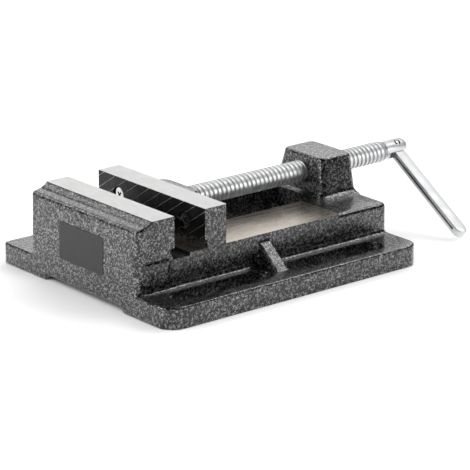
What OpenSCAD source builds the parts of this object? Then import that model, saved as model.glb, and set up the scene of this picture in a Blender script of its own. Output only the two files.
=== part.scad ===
// Drill-press vise with 125 mm jaws.
// Frame: X runs along the lead screw, from the fixed jaw towards the handle. Y runs
// across the jaws. Z is up. The origin is on the table, at the centre of the four
// hold-down slots. Sizes along X are given from the front of the base, and every
// piece is moved to that origin by from_front().

/* [Parts] */
// Which piece to draw, or all of them

/* [Base] */
// Length of the base along the screw
base_l = 234; // [180:1:320]
// Width of the base over its hold-down flanges
base_w = 197; // [150:1:260]
// Thickness of the hold-down flanges
flange_t = 16; // [8:0.5:25]
// Radius of the flange corner at the front of the near side, seen from above
flange_r = 14; // [4:1:30]
// Height of the slide ways above the table
way_z = 39; // [28:0.5:60]
// Thickness of the casting under the ways
way_t = 12; // [8:0.5:20]
// Wall thickness of the hollow under the ways
wall_t = 9; // [6:0.5:16]
// Width of the guide slot between the two ways
guide_slot_w = 39.6; // [20:0.1:60]
// Where the machined ways end, along the screw
way_end_x = 187; // [120:1:260]
// Rear end of the guide slot, in front of the nut block
guide_end_x = 197; // [120:1:260]
// Height of the relief under the middle of the base
foot_relief_h = 4.5; // [0:0.5:8]
// Width of the relief under the middle of the base
foot_relief_w = 86; // [40:1:120]

/* [Hold-down slots] */
// Width of each hold-down slot
slot_w = 18; // [10:0.5:24]
// Distance between the slot centre lines on the two sides
slot_spacing = 159; // [120:1:220]
// Overall length of each hold-down slot
slot_l = 88.5; // [30:0.5:110]
// Start of the front slots along the screw
front_slot_x = 17.5; // [12:0.5:40]
// Distance between the centres of the front and rear slots
slot_pitch = 105; // [90:0.5:160]

/* [Jaws] */
// Width of both jaws
jaw_w = 125; // [80:1:200]
// Height of the jaw tops above the table
jaw_top_z = 68; // [50:0.5:100]
// Distance from the front of the base to the fixed jaw plate
fixed_face_x = 33.8; // [25:0.1:60]
// Jaw opening in the pose drawn
jaw_gap = 27.3; // [1:0.1:120]
// Length of the ground top of each jaw, along the screw
jaw_t = 19.3; // [12:0.1:40]
// Depth of the cast ledge in front of the fixed jaw's ground top
ledge_drop = 3.8; // [0:0.1:10]
// Thickness of the jaw plates
plate_t = 6; // [3:0.5:12]
// Height of the jaw plates
plate_h = 23; // [15:0.5:50]
// How far the plates stand proud of the castings
plate_proud = 1.9; // [0:0.1:4]
// Distance between the two screws of a jaw plate
plate_screw_spacing = 77; // [40:1:160]
// Height of those screws above the table
plate_screw_z = 54.2; // [45:0.1:90]

/* [Screw] */
// Height of the screw axis above the table
screw_z = 55; // [40:0.5:80]
// Outer diameter of the lead screw
screw_d = 16; // [10:0.5:24]
// Far end of the threaded length, in the pose drawn
thread_end_x = 285; // [240:1:360]
// Far end of the forked head, in the pose drawn
head_end_x = 306.5; // [250:0.5:380]
// Diameter of the smooth forked head
head_d = 14; // [10:0.5:24]
// Diameter of the journal that turns in the moving jaw
journal_d = 12; // [8:0.5:20]
// Depth of the rear boss on the moving jaw
boss_l = 11; // [6:0.5:25]
// Width of the rear boss on the moving jaw
boss_w = 44; // [30:1:80]

/* [Handle] */
// Length from the pivot to the tip
handle_l = 93; // [50:1:160]
// Width of the handle along the screw
handle_w = 10; // [6:0.5:20]
// Thickness of the folded handle
handle_t = 6; // [4:0.5:12]
// Sheet thickness of the folded handle
handle_sheet = 1.7; // [1:0.1:3]
// Angle of the handle below the horizontal
handle_droop = 33; // [0:1:90]
// Diameter of the pivot pin
handle_pin_d = 5; // [3:0.5:8]

/* [Hidden] */
$fn = 48;
slot_centre_x = front_slot_x + slot_l / 2 + slot_pitch / 2;
over = 1;                                        // how far a cut runs past a face
slip = 0.3;                                      // gap between faces that slide
running_fit = 0.1;                               // radial gap of a shaft in its bore

jaw_plate_z = jaw_top_z - plate_h;               // lower edge of the jaw plates
moving_face_x = fixed_face_x + jaw_gap;          // clamping face of the moving jaw
moving_back_x = moving_face_x + jaw_t;
boss_end_x = moving_back_x + boss_l;
flange_corners = [flange_r, 11, 3.5, 11];        // near front, near rear, far front, far rear
body_corners = [5.5, 5, 2.5, 5];
front_draft = 1;                                 // lean of the front face at its top edge
ledge_z = jaw_top_z - ledge_drop;
front_edge_z = ledge_z - 2.9;                    // top of the front face
fixed_top_x = fixed_face_x - jaw_t;              // front edge of the ground jaw top
pedestal_out = 0.6;                              // raised pad beside the fixed jaw
root_relief_l = 13.6;                            // grinding relief beside the fixed jaw
root_relief_h = 2.3;

block_front_x = 200;                             // foot of the nut block
block_lean = 4.3;                                // lean of its front face below the crown
block_w = 56.8;                                  // width at the foot
block_top_w = 45.6;                              // width below the crown
crown_in = 1.2;                                  // rounding of its top edges
crown_h = 2.4;
rib_x = 109.5;                                   // stiffening ribs between the slots
rib_t = 11;
rib_top_z = 33;
rib_reach = 20;

cavity_x0 = 12;
cavity_x1 = 222;
ceiling_z = way_z - way_t;                       // underside of the ways

screw_hole_d = 6.6;                              // plate screws: M6 countersunk
screw_head_d = 11;
screw_head_h = 2.9;
screw_sink = 1.2;                                // how deep the heads sit below the plate's face
sink_d = 12.4;
plate_screw_l = 14;
thread_core_d = 6;

tenon_l = 21.5;                                  // guide block under the moving jaw
tenon_x = moving_face_x + 6;
tenon_w = guide_slot_w - 2 * slip;
tenon_z = ceiling_z - slip;
keeper_l = 27;
keeper_w = 66;
keeper_t = 8;
keeper_z = tenon_z - keeper_t;
bolt_d = 8;                                      // keeper bolts: M8 hexagon head
bolt_spacing = 22;
bolt_x = tenon_x + tenon_l / 2;
bolt_head_af = 13;
bolt_head_h = 5.3;
bolt_thread_top_z = 44;
washer_d = 16;
washer_t = 1.6;

journal_x = moving_face_x + plate_t + 4;         // blind end of the journal bore
journal_end_gap = 0.5;
groove_x = 80;                                   // groove that the retaining pins run in
groove_l = 4.6;
groove_d = 7.4;
pin_d = 4;
pin_l = boss_w - 4;
pin_offset = groove_d / 2 + slip + pin_d / 2;

fork_x = 288;                                    // bottom of the fork slot in the head
fork_w = handle_t + 0.6;
pivot_x = 297;
head_chamfer = 2.5;

label_w = 52;
label_h = 28;
label_t = 0.4;
label_mid_z = 35.5;
label_y = 2;

paint = [0.25, 0.25, 0.26];
ground_steel = [0.78, 0.78, 0.77];
black_oxide = [0.10, 0.10, 0.11];
zinc = [0.72, 0.73, 0.74];

// ---- shapes shared by several pieces ----

// Moves a piece from its place behind the front of the base to the origin.
module from_front() {
    translate([-slot_centre_x, 0, 0]) children();
}

// Plan outline centred on y = 0. The corner radii are near front, near rear, far front
// and far rear.
module rounded_rect(x0, x1, w, corners) {
    difference() {
        translate([x0, -w / 2]) square([x1 - x0, w]);
        translate([x0, -w / 2]) corner_waste(corners[0]);
        translate([x1, -w / 2]) mirror([1, 0]) corner_waste(corners[1]);
        translate([x0, w / 2]) mirror([0, 1]) corner_waste(corners[2]);
        translate([x1, w / 2]) rotate(180) corner_waste(corners[3]);
    }
}

// What a rounding of radius r takes off a corner that lies at the origin.
module corner_waste(r) {
    difference() {
        translate([-over, -over]) square(r + over);
        translate([r, r]) circle(r = r);
    }
}

function same_corners(r) = [r, r, r, r];

// Slot outline with full-radius ends, along X, centred on y = 0.
module slot_outline(x0, length, w) {
    union() {
        translate([x0 + w / 2, -w / 2]) square([length - w, w]);
        for (x = [x0 + w / 2, x0 + length - w / 2])
            translate([x, 0]) circle(d = w);
    }
}

// Outline in the XZ plane, given thickness along Y and centred on y = 0.
module across(w) {
    translate([0, w / 2, 0])
        rotate([90, 0, 0])
            linear_extrude(w) children();
}

// Cylinder along X.
module rod_x(x0, x1, d) {
    translate([x0, 0, 0])
        rotate([0, 90, 0])
            cylinder(d = d, h = x1 - x0);
}

// Countersunk screw along X with its head at x = 0 and its thread towards +X.
module countersunk_screw() {
    difference() {
        union() {
            rotate([0, 90, 0]) cylinder(d1 = screw_head_d, d2 = thread_core_d, h = screw_head_h);
            rod_x(screw_head_h - 0.1, plate_screw_l, thread_core_d);
        }
        for (turn = [0, 90])
            rotate([turn, 0, 0])
                translate([-over, -2.9, -0.65]) cube([over + 1.6, 5.8, 1.3]);
    }
}

// The clearance that a countersunk screw needs in a jaw plate.
module countersink() {
    rod_x(-over, screw_sink, sink_d);
    translate([screw_sink - 0.01, 0, 0]) rotate([0, 90, 0])
        cylinder(d1 = sink_d, d2 = screw_hole_d, h = screw_head_h);
    rod_x(0, plate_t + over, screw_hole_d);
}

// A jaw plate with its clamping face at x = 0 and its back at x = plate_t.
module jaw_plate() {
    difference() {
        translate([0, -jaw_w / 2 + 0.2, jaw_plate_z]) cube([plate_t, jaw_w - 0.4, plate_h]);
        plate_screw_places() countersink();
    }
}

module plate_screw_places() {
    for (side = [-1, 1])
        translate([0, side * plate_screw_spacing / 2, plate_screw_z]) children();
}

module hold_down_places() {
    for (side = [-1, 1])
        translate([0, side * slot_spacing / 2, -over]) children();
}

// The frame of the handle: its own +X along the arm, Z along the pivot pin.
module at_handle() {
    translate([pivot_x, 0, screw_z])
        rotate([handle_droop, 0, 0])
            rotate([0, 0, -90]) children();
}

// ---- base casting ----

module base_flange() {
    linear_extrude(flange_t) rounded_rect(0, base_l, base_w, flange_corners);
}

// Box body with the ways on top, and the fixed jaw at its front.
module base_body() {
    intersection() {
        linear_extrude(jaw_top_z) rounded_rect(0, base_l, jaw_w, body_corners);
        // the ledge slopes up from the front edge and rises in a hollow to the ground top
        across(base_w) polygon([
            [0, 0], [base_l, 0], [base_l, way_z],
            [fixed_face_x, way_z], [fixed_face_x, jaw_top_z], [fixed_top_x, jaw_top_z],
            [fixed_top_x - 1.3, ledge_z + 2.4], [fixed_top_x - 3.2, ledge_z + 1.1],
            [fixed_top_x - 6, ledge_z], [front_draft + 2.5, ledge_z - 1.2],
            [front_draft + 1, ledge_z - 1.8], [front_draft, front_edge_z], [0, flange_t]
        ]);
    }
    linear_extrude(way_z - 1.5)
        rounded_rect(3, fixed_face_x - plate_proud, jaw_w + 2 * pedestal_out, body_corners);
}

// Tapered block that the lead screw is threaded through, with a rounded crown.
module nut_block() {
    crown_z = jaw_top_z - crown_h;
    crown_w = block_top_w - 2 * crown_in;
    intersection() {
        across(block_w) polygon([
            [block_front_x, way_z - over], [base_l - 0.01, way_z - over], [base_l - 0.1, crown_z],
            [base_l - crown_in, jaw_top_z], [block_front_x + block_lean + crown_in, jaw_top_z],
            [block_front_x + block_lean, crown_z]
        ]);
        rotate([90, 0, 90]) linear_extrude(base_l) polygon([
            [-block_w / 2, 0], [block_w / 2, 0], [block_w / 2, way_z],
            [block_top_w / 2, crown_z], [crown_w / 2, jaw_top_z],
            [-crown_w / 2, jaw_top_z], [-block_top_w / 2, crown_z], [-block_w / 2, way_z]
        ]);
    }
}

// Sloping rib on each side, standing on the bridge between the slots.
module side_ribs() {
    for (flip = [0, 1])
        mirror([0, flip, 0])
            translate([rib_x, 0, 0])
                rotate([90, 0, 90]) linear_extrude(rib_t) polygon([
                    [jaw_w / 2 - over, flange_t - over], [jaw_w / 2 + rib_reach, flange_t - over],
                    [jaw_w / 2 + rib_reach, flange_t], [jaw_w / 2, rib_top_z],
                    [jaw_w / 2 - over, rib_top_z]
                ]);
}

module base_cuts() {
    // hollow under the ways
    translate([cavity_x0, wall_t - jaw_w / 2, -over])
        cube([cavity_x1 - cavity_x0, jaw_w - 2 * wall_t, ceiling_z + over]);
    // guide slot between the ways
    translate([fixed_face_x + root_relief_l - 8, -guide_slot_w / 2, ceiling_z - over])
        cube([guide_end_x - fixed_face_x - root_relief_l + 8, guide_slot_w, way_t + 2 * over]);
    // grinding relief at the root of the fixed jaw
    translate([fixed_face_x - plate_proud, -base_w / 2, way_z - root_relief_h])
        cube([root_relief_l + plate_proud, base_w, root_relief_h + over]);
    // seat of the fixed jaw plate
    translate([fixed_face_x - plate_t, -base_w / 2, jaw_plate_z])
        cube([plate_t + over, base_w, plate_h + over]);
    // face of the casting below the plate
    translate([fixed_face_x - plate_proud, -base_w / 2, way_z - root_relief_h])
        cube([plate_proud + over, base_w, plate_h]);
    // thread of the plate screws
    plate_screw_places()
        rod_x(fixed_face_x - plate_screw_l - 2, fixed_face_x, thread_core_d + 0.1);
    // hold-down slots
    hold_down_places() linear_extrude(flange_t + 2 * over) {
        slot_outline(front_slot_x, slot_l, slot_w);
        slot_outline(front_slot_x + slot_pitch, slot_l, slot_w);
    }
    // relief between the two long feet
    rotate([90, 0, 90]) translate([0, 0, -over]) linear_extrude(base_l + 2 * over) polygon([
        [-foot_relief_w / 2 - 4, -over], [foot_relief_w / 2 + 4, -over],
        [foot_relief_w / 2, foot_relief_h], [-foot_relief_w / 2, foot_relief_h]
    ]);
    // bore that the lead screw is threaded through
    translate([0, 0, screw_z]) rod_x(block_front_x - 5, base_l + over, screw_d + 2 * running_fit);
}

module base() {
    color(paint) from_front() difference() {
        union() {
            base_flange();
            base_body();
            nut_block();
            side_ribs();
        }
        base_cuts();
    }
}

// Plain label on the front of the fixed jaw.
module front_label() {
    lean = atan(front_draft / (front_edge_z - flange_t));
    color(black_oxide) from_front()
        translate([(label_mid_z - flange_t) * tan(lean), label_y, label_mid_z])
            rotate([0, lean, 0])
                translate([-label_t, -label_w / 2, -label_h / 2]) cube([label_t, label_w, label_h]);
}

module fixed_jaw_plate() {
    color(black_oxide) from_front() translate([fixed_face_x, 0, 0]) mirror([1, 0, 0]) jaw_plate();
}

module fixed_plate_screws() {
    color(zinc) from_front() translate([fixed_face_x - screw_sink, 0, 0])
        mirror([1, 0, 0]) plate_screw_places() countersunk_screw();
}

// ---- moving jaw and what travels with it ----

module moving_jaw_body() {
    // jaw across the ways
    translate([moving_face_x + plate_proud, -jaw_w / 2, way_z + slip / 3])
        cube([jaw_t - plate_proud, jaw_w, jaw_top_z - way_z - slip / 3]);
    // rear boss around the screw journal
    translate([0, 0, way_z + slip / 3])
        linear_extrude(jaw_top_z - 2 - way_z - slip / 3)
            rounded_rect(moving_face_x + 8, boss_end_x, boss_w, same_corners(9));
    // guide block in the slot between the ways
    translate([tenon_x, -tenon_w / 2, tenon_z])
        cube([tenon_l, tenon_w, way_z + over - tenon_z]);
}

module moving_jaw() {
    color(paint) from_front() difference() {
        moving_jaw_body();
        // seat of the jaw plate
        translate([moving_face_x - over, -jaw_w, jaw_plate_z])
            cube([plate_t + over, 2 * jaw_w, plate_h + over]);
        translate([moving_face_x, 0, 0])
            plate_screw_places() rod_x(plate_t - over, plate_screw_l + 2, thread_core_d + 0.1);
        // blind bore for the journal
        translate([0, 0, screw_z]) rod_x(journal_x, boss_end_x + over, journal_d + 2 * running_fit);
        retaining_pin_places() cylinder(d = pin_d, h = pin_l + 10, center = true);
        // threads of the keeper bolts
        keeper_bolt_places() translate([0, 0, tenon_z - over])
            cylinder(d = bolt_d + 0.1, h = bolt_thread_top_z + 1 - tenon_z + over);
    }
}

module moving_jaw_plate() {
    color(black_oxide) from_front() translate([moving_face_x, 0, 0]) jaw_plate();
}

module moving_plate_screws() {
    color(zinc) from_front() translate([moving_face_x + screw_sink, 0, 0])
        plate_screw_places() countersunk_screw();
}

module retaining_pin_places() {
    for (side = [-1, 1])
        translate([groove_x + groove_l / 2, 0, screw_z + side * pin_offset])
            rotate([90, 0, 0]) children();
}

// Two cross pins that run in the journal's groove and hold the screw in the jaw.
module retaining_pins() {
    color(zinc) from_front() retaining_pin_places() cylinder(d = pin_d, h = pin_l, center = true);
}

module keeper_bolt_places() {
    for (side = [-1, 1])
        translate([bolt_x, side * bolt_spacing / 2, 0]) children();
}

// Plate under the ways that stops the moving jaw from lifting.
module keeper_plate() {
    color(ground_steel) from_front() difference() {
        translate([bolt_x - keeper_l / 2, -keeper_w / 2, keeper_z])
            cube([keeper_l, keeper_w, keeper_t]);
        keeper_bolt_places() translate([0, 0, keeper_z - over])
            cylinder(d = bolt_d + 0.6, h = keeper_t + 2 * over);
    }
}

module keeper_washers() {
    color(zinc) from_front() keeper_bolt_places() translate([0, 0, keeper_z - washer_t]) difference() {
        cylinder(d = washer_d, h = washer_t);
        translate([0, 0, -over]) cylinder(d = bolt_d + 0.6, h = washer_t + 2 * over);
    }
}

module keeper_bolts() {
    color(zinc) from_front() keeper_bolt_places() {
        translate([0, 0, keeper_z - washer_t - bolt_head_h])
            cylinder(d = bolt_head_af / cos(30), h = bolt_head_h, $fn = 6);
        translate([0, 0, keeper_z - washer_t - 0.1])
            cylinder(d = bolt_d, h = bolt_thread_top_z - keeper_z + washer_t + 0.1);
    }
}

// ---- lead screw and handle ----

// The thread is drawn as a plain cylinder of its outer diameter.
module lead_screw() {
    color(zinc) from_front() difference() {
        translate([0, 0, screw_z]) {
            rod_x(journal_x + journal_end_gap, groove_x, journal_d);
            rod_x(groove_x - 0.1, groove_x + groove_l + 0.1, groove_d);
            rod_x(groove_x + groove_l, boss_end_x + slip + 0.1, journal_d);
            rod_x(boss_end_x + slip, thread_end_x, screw_d);
            rod_x(thread_end_x - 0.1, head_end_x - head_chamfer, head_d);
            translate([head_end_x - head_chamfer - 0.01, 0, 0]) rotate([0, 90, 0])
                cylinder(d1 = head_d, d2 = head_d - 2 * head_chamfer, h = head_chamfer + 0.01);
        }
        // fork that the handle swings in
        at_handle() translate([-screw_d, fork_x - pivot_x, -fork_w / 2])
            cube([2 * screw_d, head_end_x - fork_x + over, fork_w]);
        at_handle() cylinder(d = handle_pin_d, h = 2 * screw_d, center = true);
    }
}

// Folded sheet handle, straight out along its own +X from the pivot at the origin.
module handle_outline() {
    union() {
        translate([0, -handle_w / 2]) square([handle_l - handle_w / 2, handle_w]);
        circle(d = handle_w);
        translate([handle_l - handle_w / 2, 0]) circle(d = handle_w);
    }
}

module handle() {
    hollow_w = handle_w - 2 * handle_sheet;
    color(zinc) from_front() at_handle() difference() {
        translate([0, 0, -handle_t / 2]) linear_extrude(handle_t) handle_outline();
        // the open side of the fold faces the vise
        translate([handle_w, -handle_w / 2 - over, handle_sheet - handle_t / 2])
            cube([handle_l - 2 * handle_w, over + handle_w - handle_sheet, handle_t - 2 * handle_sheet]);
        cylinder(d = handle_pin_d + 2 * running_fit, h = 2 * handle_t, center = true);
    }
}

module handle_pin() {
    color(zinc) from_front() at_handle() cylinder(d = handle_pin_d, h = head_d, center = true);
}

base();
front_label();
fixed_jaw_plate();
fixed_plate_screws();
moving_jaw();
moving_jaw_plate();
moving_plate_screws();
lead_screw();
retaining_pins();
keeper_plate();
keeper_bolts();
keeper_washers();
handle();
handle_pin();
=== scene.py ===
import math

import bmesh
import bpy
from mathutils import Matrix, Vector


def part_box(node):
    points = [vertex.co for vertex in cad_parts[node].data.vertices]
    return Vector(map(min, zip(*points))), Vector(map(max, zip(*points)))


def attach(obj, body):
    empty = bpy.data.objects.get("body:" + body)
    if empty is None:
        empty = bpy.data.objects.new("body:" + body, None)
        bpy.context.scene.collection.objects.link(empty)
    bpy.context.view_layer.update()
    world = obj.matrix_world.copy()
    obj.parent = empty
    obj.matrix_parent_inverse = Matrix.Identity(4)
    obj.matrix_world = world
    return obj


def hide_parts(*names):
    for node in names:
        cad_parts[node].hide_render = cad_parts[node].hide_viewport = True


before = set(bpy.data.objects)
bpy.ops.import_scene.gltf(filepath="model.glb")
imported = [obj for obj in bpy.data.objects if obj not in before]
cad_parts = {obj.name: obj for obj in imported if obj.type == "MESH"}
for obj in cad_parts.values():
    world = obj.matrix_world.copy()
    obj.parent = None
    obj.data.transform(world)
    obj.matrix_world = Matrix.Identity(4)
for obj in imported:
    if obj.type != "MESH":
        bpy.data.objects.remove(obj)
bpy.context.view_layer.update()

# Sizes are in millimetres. X runs from the front of the base towards the handle,
# Y across the jaws and Z up from the table.
MM = 0.001
FRONT_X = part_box("base")[0].x

BASE_LENGTH = 234
BASE_WIDTH = 197
FLANGE_T = 16
# Corner radii, in plan_ring's order: far rear, far front, near front, near rear.
FLANGE_CORNERS = (11, 3.5, 14, 11)
BODY_CORNERS = (5, 2, 5.5, 5)
WAY_Z = 39
WAY_END_X = 187
CEILING_Z = 27
HOLLOW_START_X = 12
HOLLOW_END_X = 222
HOLLOW_HALF = 53.5
GUIDE_WIDTH = 39.6
GUIDE_END_X = 197
SLIP = 0.3
RUNNING_FIT = 0.1
SLOT_WIDTH = 18
SLOT_LENGTH = 88.5
SLOT_Y = 79.5
FRONT_SLOT_X = 17.5
SLOT_PITCH = 105
FOOT_RELIEF_HALF = 43
FOOT_RELIEF_H = 4.5
RIB_START_X = 109.5
RIB_END_X = 120.5
RIB_TOP_Z = 33.5
RIB_REACH = 20

JAW_HALF = 62.5
JAW_TOP_Z = 68
FRONT_EDGE_Z = 61.3
FIXED_FACE_X = 33.8
FIXED_TOP_X = 14.5
MOVING_FACE_X = 61.1
MOVING_BACK_X = 80.4
BOSS_END_X = 91.4
BOSS_HALF = 22
TENON_START_X = 67.1
TENON_END_X = 88.6
PLATE_T = 6
PLATE_HALF = 62.3
PLATE_Z = 45
PLATE_PROUD = 1.9
PLATE_SCREW_Y = 38.5
PLATE_SCREW_Z = 54.2
PLATE_SCREW_SINK = 1.2
PLATE_SCREW_HEAD_H = 2.9
PLATE_SEAT_R = 6.2
GROOVE_PITCH = 13.4
GROOVE_SLOPE = -0.65
GROOVE_MID_Z = 60
GROOVE_DEPTH = 0.22

BLOCK_FRONT_X = 200
BLOCK_HALF = 28.4
BLOCK_TOP_HALF = 22.4
BLOCK_LEAN = 4.5

SCREW_Z = 55
SCREW_R = 8
SCREW_CORE_R = 6.7
SCREW_PITCH = 4
JOURNAL_BORE_X = 71.1
JOURNAL_R = 6.0
PIN_GROOVE_R = 3.7
THREAD_START_X = 91.7
THREAD_END_X = 285
HEAD_END_X = 306.5
HEAD_R = 7
FORK_X = 288
PIVOT_X = 297
HANDLE_LENGTH = 93
HANDLE_WIDTH = 10
HANDLE_T = 6
HANDLE_SHEET = 1.7
HANDLE_DROOP = 33
PIN_R = 2.5

CAMERA_PLACE = (-1.18291, -1.47359, 0.63483)
CAMERA_AZIMUTH = -39.34
CAMERA_ELEVATION = 17.96
CAMERA_LENS = 207.9


def at(x, y, z):
    """A place in millimetres behind the front of the base, as metres in the shared frame."""
    return Vector((FRONT_X + x * MM, y * MM, z * MM))


def direction(azimuth, elevation):
    """Unit vector from the vise, at degrees round from the near side and up."""
    a, e = math.radians(azimuth), math.radians(elevation)
    return Vector((math.sin(a) * math.cos(e), -math.cos(a) * math.cos(e), math.sin(e)))


# ---- camera ----

def add_camera():
    back = direction(CAMERA_AZIMUTH, CAMERA_ELEVATION)
    data = bpy.data.cameras.new("camera")
    data.sensor_width = 36
    data.lens = CAMERA_LENS
    camera = bpy.data.objects.new("camera", data)
    camera.location = CAMERA_PLACE
    camera.rotation_mode = "QUATERNION"
    camera.rotation_quaternion = (-back).to_track_quat("-Z", "Y")
    bpy.context.scene.collection.objects.link(camera)
    bpy.context.scene.camera = camera


add_camera()


# ---- materials ----

class Recipe:
    """A material's node tree, with short ways to add nodes and wires."""

    def __init__(self, name):
        self.material = bpy.data.materials.new(name)
        self.material.use_nodes = True
        self.tree = self.material.node_tree
        self.shader = self.tree.nodes["Principled BSDF"]
        self.place = self.add("ShaderNodeTexCoord").outputs["Object"]

    def add(self, kind, sockets=None, **settings):
        node = self.tree.nodes.new(kind)
        for key, value in settings.items():
            setattr(node, key, value)
        for key, value in (sockets or {}).items():
            if isinstance(value, bpy.types.NodeSocket):
                self.tree.links.new(value, node.inputs[key])
            else:
                node.inputs[key].default_value = value
        return node

    def wire(self, source, socket):
        self.tree.links.new(source, self.shader.inputs[socket])

    def noise(self, size_mm, detail=2.0, distortion=0.0, stretch=(1, 1, 1)):
        """Noise whose lumps are about size_mm across, stretched along each axis."""
        scaled = self.add("ShaderNodeVectorMath", {0: self.place, 1: stretch}, operation="DIVIDE")
        node = self.add(
            "ShaderNodeTexNoise",
            {"Vector": scaled.outputs[0], "Scale": 1000 / size_mm, "Detail": detail,
             "Roughness": 0.55, "Distortion": distortion},
        )
        return node.outputs["Fac"]

    def spread(self, value, low, high, to_low=0.0, to_high=1.0):
        """Maps low..high onto to_low..to_high, clamped."""
        return self.add(
            "ShaderNodeMapRange",
            {"Value": value, "From Min": low, "From Max": high, "To Min": to_low, "To Max": to_high},
        ).outputs["Result"]

    def maths(self, operation, a, b=0.0):
        return self.add("ShaderNodeMath", {0: a, 1: b}, operation=operation).outputs[0]

    def blend(self, factor, colour_a, colour_b):
        node = self.add("ShaderNodeMix", {"Factor": factor}, data_type="RGBA")
        for socket, colour in ((node.inputs[6], colour_a), (node.inputs[7], colour_b)):
            if isinstance(colour, bpy.types.NodeSocket):
                self.tree.links.new(colour, socket)
            else:
                socket.default_value = (*colour, 1)
        return node.outputs[2]

    def bump(self, height, strength, depth_mm):
        node = self.add("ShaderNodeBump", {"Height": height, "Strength": strength,
                                           "Distance": depth_mm * MM})
        self.wire(node.outputs["Normal"], "Normal")

    def set(self, **sockets):
        for key, value in sockets.items():
            self.shader.inputs[key.replace("_", " ")].default_value = value


def hammertone():
    """Near-black stove enamel with a fine worm pattern of silver flakes."""
    r = Recipe("hammertone_paint")
    worms = r.noise(1.6, detail=1.5, distortion=0.8)
    ridge = r.maths("ABSOLUTE", r.maths("SUBTRACT", worms, 0.5))
    line = r.spread(ridge, 0.025, 0.06, 1.0, 0.0)
    gaps = r.spread(r.noise(2.0, detail=1.0), 0.42, 0.52)
    fleck = r.maths("MULTIPLY", line, gaps)
    cloud = r.noise(45, detail=2.0)
    dark = r.blend(cloud, (0.004, 0.004, 0.004), (0.008, 0.008, 0.008))
    r.wire(r.blend(fleck, dark, (0.36, 0.36, 0.37)), "Base Color")
    r.wire(r.maths("MULTIPLY", fleck, 0.8), "Metallic")
    r.wire(r.spread(fleck, 0.0, 1.0, 0.30, 0.40), "Roughness")
    r.bump(worms, 0.35, 0.3)
    r.set(Specular_IOR_Level=0.1, Coat_Weight=1.0, Coat_Roughness=0.2, Coat_IOR=1.45)
    return r.material


def ground_steel():
    """Surface-ground cast iron: bright, with fine scratches across the jaws."""
    r = Recipe("ground_steel")
    grain = r.noise(0.7, detail=3.0, stretch=(1, 14, 1))
    cloud = r.noise(18, detail=2.0)
    base = r.blend(cloud, (0.60, 0.60, 0.60), (0.72, 0.72, 0.71))
    r.wire(r.blend(r.spread(grain, 0.62, 0.75), base, (0.45, 0.45, 0.45)), "Base Color")
    r.wire(r.spread(grain, 0.3, 0.7, 0.34, 0.5), "Roughness")
    r.bump(grain, 0.25, 0.05)
    r.set(Metallic=1.0)
    return r.material


def milled_way():
    """Milled slide ways with a thin warm film of rust-preventing oil."""
    r = Recipe("milled_way")
    streak = r.noise(1.2, detail=3.0, stretch=(20, 1, 1))
    cloud = r.noise(26, detail=2.5)
    warm = r.blend(cloud, (0.40, 0.352, 0.30), (0.60, 0.54, 0.47))
    r.wire(r.blend(r.spread(streak, 0.6, 0.8), warm, (0.38, 0.34, 0.295)), "Base Color")
    r.wire(r.spread(streak, 0.3, 0.7, 0.22, 0.34), "Roughness")
    r.bump(streak, 0.2, 0.05)
    r.set(Metallic=0.9)
    return r.material


def black_steel():
    """Hardened steel with a black oxide finish."""
    r = Recipe("black_jaw_steel")
    scuff = r.noise(9, detail=4.0)
    fine = r.noise(0.5, detail=2.0)
    base = r.blend(r.spread(scuff, 0.45, 0.75), (0.012, 0.012, 0.013), (0.05, 0.05, 0.05))
    r.wire(base, "Base Color")
    r.wire(r.spread(fine, 0.3, 0.7, 0.3, 0.45), "Roughness")
    r.bump(fine, 0.2, 0.04)
    r.set(Metallic=0.6)
    return r.material


def zinc_steel(name, smoothest, roughest):
    """Zinc-plated steel with faint handling marks."""
    r = Recipe(name)
    cloud = r.noise(6, detail=3.0)
    fine = r.noise(0.35, detail=2.0)
    r.wire(r.blend(cloud, (0.58, 0.59, 0.60), (0.74, 0.74, 0.74)), "Base Color")
    r.wire(r.spread(cloud, 0.3, 0.7, smoothest, roughest), "Roughness")
    r.bump(fine, 0.12, 0.03)
    r.set(Metallic=1.0)
    return r.material


def label_film():
    """Matt dark grey film."""
    r = Recipe("label_film")
    haze = r.noise(8, detail=3.0)
    fine = r.noise(0.4, detail=1.0)
    r.wire(r.blend(haze, (0.016, 0.016, 0.017), (0.024, 0.024, 0.025)), "Base Color")
    r.wire(r.spread(haze, 0.3, 0.7, 0.42, 0.52), "Roughness")
    r.bump(fine, 0.08, 0.03)
    return r.material


def studio_floor():
    r = Recipe("studio_floor")
    haze = r.noise(900, detail=1.0)
    r.wire(r.blend(haze, (0.92, 0.92, 0.92), (0.94, 0.94, 0.94)), "Base Color")
    r.set(Roughness=0.9)
    return r.material


PAINT = hammertone()
GROUND = ground_steel()
WAY = milled_way()
BLACK = black_steel()
ZINC = zinc_steel("zinc_steel", 0.36, 0.50)
BRIGHT_ZINC = zinc_steel("bright_zinc_steel", 0.14, 0.26)
LABEL = label_film()

# A casting's material slots: as cast and painted, surface ground, milled.
CAST_MATERIALS = (PAINT, GROUND, WAY)
AS_CAST, AS_GROUND, AS_MILLED = range(3)


# ---- mesh building ----

def new_piece(name, mesh, materials=(), index=0):
    """Turns a bmesh into an object whose faces all use one of its materials."""
    bmesh.ops.recalc_face_normals(mesh, faces=mesh.faces)
    for face in mesh.faces:
        face.material_index = index
    data = bpy.data.meshes.new(name)
    mesh.to_mesh(data)
    mesh.free()
    for material in materials:
        data.materials.append(material)
    piece = bpy.data.objects.new(name, data)
    bpy.context.scene.collection.objects.link(piece)
    return piece


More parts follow.
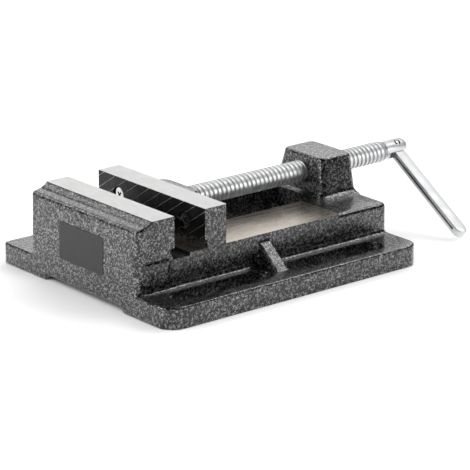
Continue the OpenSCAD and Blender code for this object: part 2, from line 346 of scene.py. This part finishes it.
def loft(name, rings, materials=(), index=0):
    """Closed solid through a stack of rings that have the same number of points."""
    mesh = bmesh.new()
    rows = [[mesh.verts.new(point) for point in ring] for ring in rings]
    count = len(rows[0])
    for low, high in zip(rows, rows[1:]):
        for i in range(count):
            j = (i + 1) % count
            mesh.faces.new((low[i], low[j], high[j], high[i]))
    mesh.faces.new(list(reversed(rows[0])))
    mesh.faces.new(rows[-1])
    return new_piece(name, mesh, materials, index)


def plan_ring(x0, x1, y0, y1, radii, z, inset=0, steps=6):
    """Rounded rectangle seen from above. The radii belong to the corners in turn, from the
    far rear one round by the front, or one radius serves all four."""
    if not isinstance(radii, tuple):
        radii = (radii,) * 4
    ring = []
    for turn, radius in enumerate(radii):
        radius = max(radius - inset, 0.5)
        cx = x1 - inset - radius if turn in (0, 3) else x0 + inset + radius
        cy = y1 - inset - radius if turn in (0, 1) else y0 + inset + radius
        for step in range(steps + 1):
            angle = math.radians(90 * (turn + step / steps))
            ring.append(at(cx + radius * math.cos(angle), cy + radius * math.sin(angle), z))
    return ring


def slab(name, x0, x1, half, radii, z0, z1, top_round=0, materials=(), index=0):
    """Upright block with rounded corners and a rounded top edge, centred across the jaws."""
    rings = [plan_ring(x0, x1, -half, half, radii, z0)]
    for step in range(5 if top_round else 0):
        angle = math.radians(90 * step / 4)
        inset = top_round * (1 - math.cos(angle))
        z = z1 - top_round * (1 - math.sin(angle))
        rings.append(plan_ring(x0, x1, -half, half, radii, z, inset))
    if not top_round:
        rings.append(plan_ring(x0, x1, -half, half, radii, z1))
    return loft(name, rings, materials, index)


def prism(name, outline, axis, low, high, materials=(), index=0):
    """Outline given thickness along axis. The outline is in the other two axes, in order."""
    def place(a, b, along):
        if axis == "X":
            return at(along, a, b)
        if axis == "Y":
            return at(a, along, b)
        return at(a, b, along)
    rings = [[place(a, b, along) for a, b in outline] for along in (low, high)]
    return loft(name, rings, materials, index)


def block(name, x0, x1, y0, y1, z0, z1, materials=(), index=0):
    outline = ((x0, y0), (x1, y0), (x1, y1), (x0, y1))
    return prism(name, outline, "Z", z0, z1, materials, index)


def lathe_x(name, profile, z=SCREW_Z, y=0, sides=48, materials=(), index=0):
    """Turned solid about an axis along X, from (x, radius) pairs."""
    rings = []
    for x, radius in profile:
        ring = []
        for side in range(sides):
            angle = 2 * math.pi * side / sides
            ring.append(at(x, y + radius * math.cos(angle), z + radius * math.sin(angle)))
        rings.append(ring)
    return loft(name, rings, materials, index)


def apply_modifiers(piece):
    graph = bpy.context.evaluated_depsgraph_get()
    mesh = bpy.data.meshes.new_from_object(piece.evaluated_get(graph))
    old = piece.data
    piece.modifiers.clear()
    piece.data = mesh
    bpy.data.meshes.remove(old)


def combine(target, tool, operation="DIFFERENCE"):
    """Cuts tool out of target, or adds it, and removes tool."""
    modifier = target.modifiers.new("combine", "BOOLEAN")
    modifier.object = tool
    modifier.operation = operation
    modifier.solver = "EXACT"
    apply_modifiers(target)
    bpy.data.objects.remove(tool)


def join(name, pieces, materials=()):
    """One object that holds the meshes of all the pieces, which are removed."""
    mesh = bmesh.new()
    for piece in pieces:
        mesh.from_mesh(piece.data)
        bpy.data.objects.remove(piece)
    return new_piece(name, mesh, materials)


def cast(piece, voxel, passes, keep):
    """Rounds every edge and corner of overlapping blocks, as sand casting does."""
    remesh = piece.modifiers.new("cast", "REMESH")
    remesh.mode = "VOXEL"
    remesh.voxel_size = voxel * MM
    smooth = piece.modifiers.new("round", "SMOOTH")
    smooth.factor = 0.5
    smooth.iterations = passes
    thin = piece.modifiers.new("thin", "DECIMATE")
    thin.ratio = keep
    apply_modifiers(piece)
    piece.data.materials.clear()
    for material in CAST_MATERIALS:
        piece.data.materials.append(material)


def shade(piece, angle=32):
    piece.data.shade_smooth()
    piece.data.set_sharp_from_angle(angle=math.radians(angle))
    return piece


def soften(piece, width_mm, segments=2):
    """Rounds the sharp edges of a machined piece."""
    bevel = piece.modifiers.new("edges", "BEVEL")
    bevel.width = width_mm * MM
    bevel.segments = segments
    bevel.limit_method = "ANGLE"
    bevel.angle_limit = math.radians(40)


def place_piece(piece, body, slot, *nodes):
    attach(piece, body)
    if nodes:
        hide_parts(*nodes)
    return piece


# ---- base casting ----

def slot_outline(x0, length, width, y):
    half = width / 2
    points = []
    for cx, start in ((x0 + length - half, -90), (x0 + half, 90)):
        for step in range(13):
            angle = math.radians(start + 180 * step / 12)
            points.append((cx + half * math.cos(angle), y + half * math.sin(angle)))
    return points


def flange():
    edge = 0.6
    plate = slab("flange", 0, BASE_LENGTH, BASE_WIDTH / 2, FLANGE_CORNERS, 0, FLANGE_T, edge)
    for y in (-SLOT_Y, SLOT_Y):
        for x in (FRONT_SLOT_X, FRONT_SLOT_X + SLOT_PITCH):
            outline = slot_outline(x, SLOT_LENGTH, SLOT_WIDTH, y)
            combine(plate, prism("slot", outline, "Z", -5, FLANGE_T + 5))
    half = FOOT_RELIEF_HALF
    relief = ((-half - 5, -2), (half + 5, -2), (half + 4, 0), (half, FOOT_RELIEF_H),
              (-half, FOOT_RELIEF_H), (-half - 4, 0))
    combine(plate, prism("relief", relief, "X", -5, BASE_LENGTH + 5))
    return plate


def wall_foot():
    """Fillet between the flange and the walls that stand on it."""
    reach = 4.0
    rings = []
    for step in range(6):
        angle = math.radians(90 * step / 5)
        out = reach * (1 - math.sin(angle))
        z = FLANGE_T - 0.5 + reach * (1 - math.cos(angle))
        rings.append(plan_ring(0.4, BASE_LENGTH - 0.4, -JAW_HALF - out, JAW_HALF + out, 5, z))
    return loft("wall_foot", rings)


def body_block():
    return slab("body", 9, BASE_LENGTH, JAW_HALF, BODY_CORNERS, 8, WAY_Z - 0.2, 3.2)


def way_block():
    """The part of the body that is machined down to the slide ways."""
    return slab("ways", 12, WAY_END_X - 1.2, JAW_HALF, 2, 20, WAY_Z + 0.7)


def fixed_jaw():
    """Jaw with a leaning front face and a ledge that slopes up to the ground top."""
    rings = []
    for z, lean in ((10, 0), (16, 0), (FRONT_EDGE_Z, 1.0)):
        rings.append(plan_ring(lean, FIXED_FACE_X, -JAW_HALF, JAW_HALF, BODY_CORNERS, z))
    lower = loft("fixed_jaw", rings)
    top_x = FIXED_TOP_X
    ledge = [(1.2, 50), (1.2, FRONT_EDGE_Z), (2.0, 62.6), (3.5, 63.2), (top_x - 6, 64.2),
             (top_x - 3.2, 65.3), (top_x - 1.3, 66.6), (top_x, JAW_TOP_Z),
             (top_x, JAW_TOP_Z + 3), (FIXED_FACE_X + 1, JAW_TOP_Z + 3), (FIXED_FACE_X + 1, 50)]
    upper = prism("ledge", ledge, "Y", -JAW_HALF, JAW_HALF)
    corners = slab("ledge_corners", 1.0, FIXED_FACE_X + 5, JAW_HALF, BODY_CORNERS, 45,
                   JAW_TOP_Z + 5)
    combine(upper, corners, "INTERSECT")
    return [lower, upper]


def pedestal_pad():
    """Raised pad low on both sides of the fixed jaw."""
    return slab("pad", 4, FIXED_FACE_X - PLATE_PROUD, JAW_HALF + 1.0, BODY_CORNERS, 15,
                WAY_Z - 1.5)


def nut_block():
    """Tapered block for the lead screw, with a low fillet round its foot."""
    height = JAW_TOP_Z - WAY_Z
    rings = []
    for up, out in ((-3, 6.5), (0, 6.0), (0.5, 4.0), (1.1, 2.1), (1.9, 0.8), (2.8, 0),
                    (height - 0.6, 0), (height, -0.6)):
        share = max(up, 0) / height
        half = BLOCK_HALF + (BLOCK_TOP_HALF - BLOCK_HALF) * share + out
        x0 = BLOCK_FRONT_X + BLOCK_LEAN * share - min(out, 4)
        x1 = BASE_LENGTH - 0.3 * share + min(out, 0)
        rings.append(plan_ring(x0, x1, -half, half, 4.5, WAY_Z + up))
    return loft("nut_block", rings)


def side_rib(side):
    """Rib between two slots, sloping from the wall down to the flange."""
    tip = JAW_HALF + RIB_REACH
    outline = [(JAW_HALF - 2, FLANGE_T - 2), (tip + 1, FLANGE_T - 2), (tip, FLANGE_T + 0.8),
               (JAW_HALF, RIB_TOP_Z), (JAW_HALF - 2, RIB_TOP_Z)]
    return prism("rib", [(side * y, z) for y, z in outline], "X", RIB_START_X, RIB_END_X)


def cutter(name, finish, x, y, z):
    """Block that cuts a casting and leaves a finish. Each of x, y and z is a pair."""
    return block(name, *x, *y, *z, CAST_MATERIALS, finish)


def base_cuts():
    """What is machined or cored out of the base, in order."""
    across = (-BASE_WIDTH, BASE_WIDTH)
    guide_half = GUIDE_WIDTH / 2
    relief_end = FIXED_FACE_X + 13.6
    seat_x = FIXED_FACE_X - PLATE_T
    face_x = FIXED_FACE_X - PLATE_PROUD
    bore_r = SCREW_R + RUNNING_FIT
    bore = ((BLOCK_FRONT_X - 10, bore_r), (BASE_LENGTH + 5, bore_r))
    return [
        cutter("way_cut", AS_MILLED, (face_x, WAY_END_X), across, (WAY_Z, WAY_Z + 20)),
        cutter("relief_cut", AS_CAST, (face_x, relief_end), across, (WAY_Z - 2.3, WAY_Z + 15)),
        cutter("face_cut", AS_CAST, (face_x, FIXED_FACE_X + 20), across,
               (WAY_Z + 1, JAW_TOP_Z + 20)),
        cutter("seat_cut", AS_GROUND, (seat_x, FIXED_FACE_X + 20), across,
               (PLATE_Z, JAW_TOP_Z + 20)),
        cutter("top_cut", AS_GROUND, (FIXED_TOP_X - 5, FIXED_FACE_X + 10), across,
               (JAW_TOP_Z, JAW_TOP_Z + 20)),
        cutter("guide_cut", AS_CAST, (relief_end - 8, GUIDE_END_X), (-guide_half, guide_half),
               (20, WAY_Z + 20)),
        slab("hollow", HOLLOW_START_X, HOLLOW_END_X, HOLLOW_HALF, 6, -5, CEILING_Z, 0,
             CAST_MATERIALS, AS_CAST),
        lathe_x("screw_bore", bore, materials=CAST_MATERIALS, index=AS_GROUND),
    ]


def base_casting():
    parts = [flange(), wall_foot(), body_block(), way_block(), pedestal_pad(), nut_block()]
    parts += fixed_jaw()
    parts += [side_rib(side) for side in (-1, 1)]
    casting = join("base_casting", parts)
    cast(casting, 0.8, 4, 0.16)
    for tool in base_cuts():
        combine(casting, tool)
    shade(casting)
    return place_piece(casting, "base", "hammertone_paint", "base")


# ---- moving jaw casting ----

def moving_jaw_cuts():
    """What is machined off the moving jaw, in order."""
    across = (-BASE_WIDTH, BASE_WIDTH)
    front, rear = 50, 100
    above = JAW_TOP_Z + 10
    below_ways = (10, WAY_Z + 0.1)
    tenon_half = GUIDE_WIDTH / 2 - SLIP
    bore_r = JOURNAL_R + RUNNING_FIT
    bore = ((JOURNAL_BORE_X, bore_r), (rear, bore_r))
    return [
        cutter("top_cut", AS_GROUND, (front, MOVING_BACK_X + 0.3), across, (JAW_TOP_Z, above)),
        cutter("seat_cut", AS_GROUND, (front, MOVING_FACE_X + PLATE_T), across,
               (PLATE_Z, above)),
        cutter("face_cut", AS_CAST, (front, MOVING_FACE_X + PLATE_PROUD), across, (10, above)),
        cutter("near_cut", AS_MILLED, (front, rear), (-BASE_WIDTH, -tenon_half), below_ways),
        cutter("far_cut", AS_MILLED, (front, rear), (tenon_half, BASE_WIDTH), below_ways),
        cutter("front_cut", AS_MILLED, (front, TENON_START_X), across, below_ways),
        cutter("rear_cut", AS_MILLED, (TENON_END_X, rear), across, below_ways),
        cutter("foot_cut", AS_MILLED, (front, rear), across, (10, CEILING_Z - SLIP)),
        lathe_x("journal_bore", bore, materials=CAST_MATERIALS, index=AS_GROUND),
    ]


def moving_jaw_casting():
    jaw = block("jaw", MOVING_FACE_X, MOVING_BACK_X, -JAW_HALF, JAW_HALF, 36, JAW_TOP_Z + 3)
    boss = slab("boss", MOVING_FACE_X + 8, BOSS_END_X, BOSS_HALF, 9, 36, JAW_TOP_Z - 2, 2.0)
    tenon = block("tenon", TENON_START_X, TENON_END_X, -BOSS_HALF, BOSS_HALF, 24, 40)
    casting = join("moving_jaw_casting", [jaw, boss, tenon])
    cast(casting, 0.7, 5, 0.2)
    for tool in moving_jaw_cuts():
        combine(casting, tool)
    shade(casting)
    return place_piece(casting, "moving_jaw", "hammertone_paint", "moving_jaw")


# ---- jaw plates and their screws ----

PLATE_MATERIALS = (BLACK, GROUND, PAINT)


def jaw_plate(name, body, face_x, facing):
    """Hardened plate with diagonal grip grooves on its clamping face."""
    back_x = face_x - facing * PLATE_T
    x0, x1 = sorted((face_x, back_x))
    plate = block(name, x0, x1, -PLATE_HALF, PLATE_HALF, PLATE_Z, JAW_TOP_Z - 0.02,
                  PLATE_MATERIALS)
    reach = 40
    rise = GROOVE_SLOPE * reach
    for k in range(-6, 7):
        y = 0.5 + GROOVE_PITCH * k
        near = (y - reach, GROOVE_MID_Z - rise)
        far = (y + reach, GROOVE_MID_Z + rise)
        combine(plate, groove(face_x, facing, near, far))
    sunk = face_x - facing * PLATE_SCREW_SINK
    hole = ((face_x + facing * 2, PLATE_SEAT_R), (sunk, PLATE_SEAT_R),
            (sunk - facing * PLATE_SCREW_HEAD_H, 3.3), (face_x - facing * 9, 3.3))
    for side in (-1, 1):
        combine(plate, lathe_x("hole", hole, PLATE_SCREW_Z, side * PLATE_SCREW_Y, 32,
                               PLATE_MATERIALS, 0))
    for face in plate.data.polygons:
        if face.normal.z > 0.9:
            face.material_index = 1
        if abs(face.normal.y) > 0.9:
            face.material_index = 2
    shade(plate)
    return place_piece(plate, body, "black_jaw_steel", name)


def groove(face_x, facing, start, end):
    """V-shaped cutter along a line on the plate's face."""
    (y0, z0), (y1, z1) = start, end
    length = math.hypot(y1 - y0, z1 - z0)
    across_y = -(z1 - z0) / length * GROOVE_DEPTH
    across_z = (y1 - y0) / length * GROOVE_DEPTH
    rings = []
    for y, z in (start, end):
        rings.append([
            at(face_x + facing * 0.3, y + 2 * across_y, z + 2 * across_z),
            at(face_x - facing * GROOVE_DEPTH, y, z),
            at(face_x + facing * 0.3, y - 2 * across_y, z - 2 * across_z),
        ])
    return loft("groove", rings, PLATE_MATERIALS, 1)


def countersunk_screws(name, body, face_x, facing):
    """Pair of cross-recessed countersunk screws, sunk below the plate's face."""
    top = face_x - facing * PLATE_SCREW_SINK
    profile = []
    for down, radius in ((-0.15, 2.6), (-0.05, 4.6), (0, 5.35), (0.35, 5.5),
                         (PLATE_SCREW_HEAD_H, 3.0), (13.4, 3.0), (14, 2.2)):
        profile.append((top - facing * down, radius))
    screws = []
    for side in (-1, 1):
        y = side * PLATE_SCREW_Y
        screw = lathe_x("screw", profile, PLATE_SCREW_Z, y, 32, (BRIGHT_ZINC,))
        for turn in (45, 135):
            combine(screw, recess_arm(top, facing, y, turn))
        screws.append(screw)
    pair = join(name, screws, (BRIGHT_ZINC,))
    shade(pair)
    return place_piece(pair, body, "zinc_steel", name)


def recess_arm(top, facing, y, turn):
    """One arm pair of a cross recess, narrower at its bottom."""
    angle = math.radians(turn)
    rings = []
    for down, long_half, short_half in ((-1, 3.4, 0.75), (2.0, 1.6, 0.55)):
        ring = []
        for a, b in ((-1, -1), (1, -1), (1, 1), (-1, 1)):
            u, v = a * long_half, b * short_half
            ring.append(at(top - facing * down, y + u * math.cos(angle) - v * math.sin(angle),
                           PLATE_SCREW_Z + u * math.sin(angle) + v * math.cos(angle)))
        rings.append(ring)
    return loft("recess", rings, (BRIGHT_ZINC,))


# ---- lead screw ----

def thread():
    """Trapezoidal thread, one turn every pitch, fading into the shank at both ends."""
    sides = 40
    crest = SCREW_R
    root = SCREW_CORE_R
    profile = ((0.0, root), (0.14, root), (0.32, crest), (0.82, crest), (1.0, root))
    turns = math.ceil((THREAD_END_X - THREAD_START_X) / SCREW_PITCH) + 2
    mesh = bmesh.new()
    rows = []
    for turn in range(turns):
        for share, radius in profile:
            row = []
            for side in range(sides + 1):
                x = THREAD_START_X + SCREW_PITCH * (turn - 1 + share + side / sides)
                x = min(max(x, THREAD_START_X), THREAD_END_X)
                fade = min(1, (x - THREAD_START_X) / 1.5, (THREAD_END_X - x) / 3.0)
                r = root + (radius - root) * max(fade, 0)
                angle = -2 * math.pi * side / sides
                row.append(mesh.verts.new(at(x, r * math.sin(angle),
                                             SCREW_Z + r * math.cos(angle))))
            rows.append(row)
    for low, high in zip(rows, rows[1:]):
        for i in range(sides):
            mesh.faces.new((low[i], low[i + 1], high[i + 1], high[i]))
    bmesh.ops.remove_doubles(mesh, verts=mesh.verts, dist=1e-6)
    bmesh.ops.dissolve_degenerate(mesh, edges=mesh.edges, dist=1e-6)
    rim = [edge for edge in mesh.edges if edge.is_boundary]
    bmesh.ops.holes_fill(mesh, edges=rim)
    return new_piece("thread", mesh, (ZINC,))


def handle_frame():
    """The handle's own axes: X along the arm, Y along the screw, Z along the pivot pin."""
    droop = Matrix.Rotation(math.radians(HANDLE_DROOP), 4, "X")
    turn = Matrix.Rotation(math.radians(-90), 4, "Z")
    return Matrix.Translation(at(PIVOT_X, 0, SCREW_Z)) @ droop @ turn


def to_handle_frame(piece):
    """Moves a piece built round the pivot, with at(0, 0, 0) as its centre, into place."""
    piece.data.transform(handle_frame() @ Matrix.Translation(-at(0, 0, 0)))
    return piece


def lead_screw():
    screw = thread()
    start = JOURNAL_BORE_X + 0.5
    shank = [(start, 4.8), (start + 1, JOURNAL_R), (80.0, JOURNAL_R), (80.0, PIN_GROOVE_R),
             (84.6, PIN_GROOVE_R), (84.6, JOURNAL_R), (THREAD_START_X + 1, JOURNAL_R)]
    combine(screw, lathe_x("journal", shank, materials=(ZINC,)), "UNION")
    end = HEAD_END_X
    head = [(THREAD_END_X - 4, 5.0), (THREAD_END_X - 0.6, HEAD_R - 0.5), (THREAD_END_X, HEAD_R),
            (end - 3.2, HEAD_R), (end - 1.9, HEAD_R - 0.5), (end - 0.8, HEAD_R - 1.6),
            (end - 0.2, HEAD_R - 3.2), (end, HEAD_R - 5.0)]
    combine(screw, lathe_x("head", head, materials=(ZINC,)), "UNION")
    fork_half = HANDLE_T / 2 + SLIP
    fork = block("fork", -12, 12, FORK_X - PIVOT_X, end - PIVOT_X + 2, -fork_half, fork_half,
                 (ZINC,))
    combine(screw, to_handle_frame(fork))
    hole = ((-9, PIN_R + 0.25), (9, PIN_R + 0.25))
    combine(screw, to_handle_frame(round_bar("pin_hole", hole)))
    shade(screw)
    return place_piece(screw, "lead_screw", "zinc_steel", "lead_screw")


def round_bar(name, profile, sides=32):
    """Turned solid along the handle's pin, from (height, radius) pairs."""
    rings = []
    for z, radius in profile:
        ring = []
        for side in range(sides):
            angle = 2 * math.pi * side / sides
            ring.append(at(radius * math.cos(angle), radius * math.sin(angle), z))
        rings.append(ring)
    return loft(name, rings, (BRIGHT_ZINC,))


def handle_pin():
    """Riveted pin with domed ends."""
    profile = ((-7.0, 0.9), (-6.8, 1.7), (-6.3, 2.3), (-5.7, PIN_R), (5.7, PIN_R), (6.3, 2.3),
               (6.8, 1.7), (7.0, 0.9))
    pin = to_handle_frame(round_bar("handle_pin_rivet", profile))
    shade(pin)
    return place_piece(pin, "lead_screw", "zinc_steel", "handle_pin")


# ---- handle ----

def handle_ring(inset, z, steps=10):
    """Outline of the handle seen along its pin: a bar with round ends."""
    half = HANDLE_WIDTH / 2 - inset
    ring = []
    for cx, start in ((HANDLE_LENGTH - HANDLE_WIDTH / 2, -90), (0, 90)):
        for step in range(steps + 1):
            angle = math.radians(start + 180 * step / steps)
            ring.append(at(cx + half * math.cos(angle), half * math.sin(angle), z))
    return ring


def handle():
    """Sheet steel folded into a bar, with its open side towards the vise."""
    edge = 0.7
    rings = []
    for end, steps in ((-1, range(4, -1, -1)), (1, range(5))):
        for step in steps:
            angle = math.radians(90 * step / 4)
            z = end * (HANDLE_T / 2 - edge * (1 - math.sin(angle)))
            rings.append(handle_ring(edge * (1 - math.cos(angle)), z))
    bar = loft("folded_handle", rings, (ZINC,))
    channel = block("channel", 9, HANDLE_LENGTH - 7,
                    -HANDLE_WIDTH, HANDLE_WIDTH / 2 - HANDLE_SHEET,
                    -0.3, HANDLE_T / 2 - HANDLE_SHEET, (ZINC,))
    combine(bar, channel)
    to_handle_frame(bar)
    shade(bar, 40)
    return place_piece(bar, "handle", "zinc_steel", "handle")


# ---- label ----

def front_label():
    low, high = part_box("front_label")
    y0, y1 = low.y / MM, high.y / MM
    z0, z1 = low.z / MM, high.z / MM
    lean = math.atan(1.0 / (FRONT_EDGE_Z - FLANGE_T))
    rings = []
    for out, inset in ((0.0, 0.0), (0.25, 0.0), (0.38, 0.15)):
        ring = []
        for point in plan_ring(z0 + inset, z1 - inset, y0 + inset, y1 - inset, 1.2, 0):
            z = (point.x - FRONT_X) / MM
            y = point.y / MM
            ring.append(at((z - FLANGE_T) * math.tan(lean) - out, y, z))
        rings.append(ring)
    label = loft("blank_label", rings, (LABEL,))
    shade(label, 25)
    return place_piece(label, "base", "label_film", "front_label")


# ---- hidden hardware that keeps its machined shape ----

def dress_hardware():
    for name, material, edge in (
        ("retaining_pins", ZINC, 0.4),
        ("keeper_plate", GROUND, 0.8),
        ("keeper_washers", ZINC, 0.2),
        ("keeper_bolts", ZINC, 0.4),
    ):
        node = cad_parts[name]
        node.data.materials.clear()
        node.data.materials.append(material)
        soften(node, edge)


# ---- studio ----

def add_floor():
    mesh = bmesh.new()
    reach = 8
    corners = [mesh.verts.new((x * reach, y * reach, -0.0002))
               for x, y in ((-1, -1), (1, -1), (1, 1), (-1, 1))]
    mesh.faces.new(corners)
    floor = new_piece("floor", mesh, (studio_floor(),))
    return floor


def add_softbox(name, azimuth, elevation, distance, width, height, power):
    """Square light panel aimed at the middle of the vise."""
    towards = direction(azimuth, elevation)
    data = bpy.data.lights.new(name, "AREA")
    data.shape = "RECTANGLE"
    data.size = width
    data.size_y = height
    data.energy = power
    light = bpy.data.objects.new(name, data)
    light.location = towards * distance
    light.rotation_mode = "QUATERNION"
    light.rotation_quaternion = towards.to_track_quat("Z", "Y")
    bpy.context.scene.collection.objects.link(light)
    return light


def add_world():
    """White round the horizon, greyer overhead and on the near side."""
    world = bpy.data.worlds.new("studio")
    world.use_nodes = True
    tree = world.node_tree
    coordinates = tree.nodes.new("ShaderNodeTexCoord")
    split = tree.nodes.new("ShaderNodeSeparateXYZ")
    both = tree.nodes.new("ShaderNodeMath")
    both.operation = "MULTIPLY"
    tree.links.new(coordinates.outputs["Generated"], split.inputs[0])
    for index, (axis, low, high, at_low, at_high) in enumerate((
        ("Z", 0.15, 0.8, 1.0, 0.4),
        ("Y", -0.8, 0.1, 0.32, 1.0),
    )):
        ramp = tree.nodes.new("ShaderNodeMapRange")
        ramp.inputs["From Min"].default_value = low
        ramp.inputs["From Max"].default_value = high
        ramp.inputs["To Min"].default_value = at_low
        ramp.inputs["To Max"].default_value = at_high
        tree.links.new(split.outputs[axis], ramp.inputs["Value"])
        tree.links.new(ramp.outputs["Result"], both.inputs[index])
    tree.links.new(both.outputs[0], tree.nodes["Background"].inputs["Strength"])
    bpy.context.scene.world = world


def only_for(light, members):
    """Makes a light shine on the members alone."""
    group = bpy.data.collections.new(light.name + "_lit")
    for member in members:
        group.objects.link(member)
    light.light_linking.receiver_collection = group


def add_lights(floor, turning):
    """Panels for the vise, others for its screw and handle, and four for the floor alone."""
    shown = [o for o in bpy.context.scene.objects if o.type == "MESH" and o is not floor]
    still = [o for o in shown if o not in turning]
    for name, members, azimuth, elevation, width, height, power in (
        ("key", shown, 140, 30, 1.2, 0.8, 5),
        ("back", shown, 195, 41, 1.0, 0.8, 5),
        ("side", still, 82, 50, 1.0, 0.8, 9),
        ("fill", shown, -105, 18, 1.1, 0.7, 13),
        ("screw_side", turning, 82, 50, 1.0, 0.8, 6),
        ("screw_front", turning, 35, 16, 0.9, 0.5, 7),
    ):
        only_for(add_softbox(name, azimuth, elevation, 1.6, width, height, power), members)
    for azimuth in (-100, -20, 60, 140):
        only_for(add_softbox("floor_light", azimuth, 40, 4.0, 4.0, 3.0, 108), [floor])


# ---- the vise and its studio ----

base_casting()
moving_jaw_casting()
jaw_plate("fixed_jaw_plate", "base", FIXED_FACE_X, 1)
jaw_plate("moving_jaw_plate", "moving_jaw", MOVING_FACE_X, -1)
countersunk_screws("fixed_plate_screws", "base", FIXED_FACE_X, 1)
countersunk_screws("moving_plate_screws", "moving_jaw", MOVING_FACE_X, -1)
turning = [lead_screw(), handle_pin(), handle()]
front_label()
dress_hardware()

floor = add_floor()
add_world()
add_lights(floor, turning)

scene = bpy.context.scene
scene.view_settings.view_transform = "Standard"
scene.view_settings.look = "None"
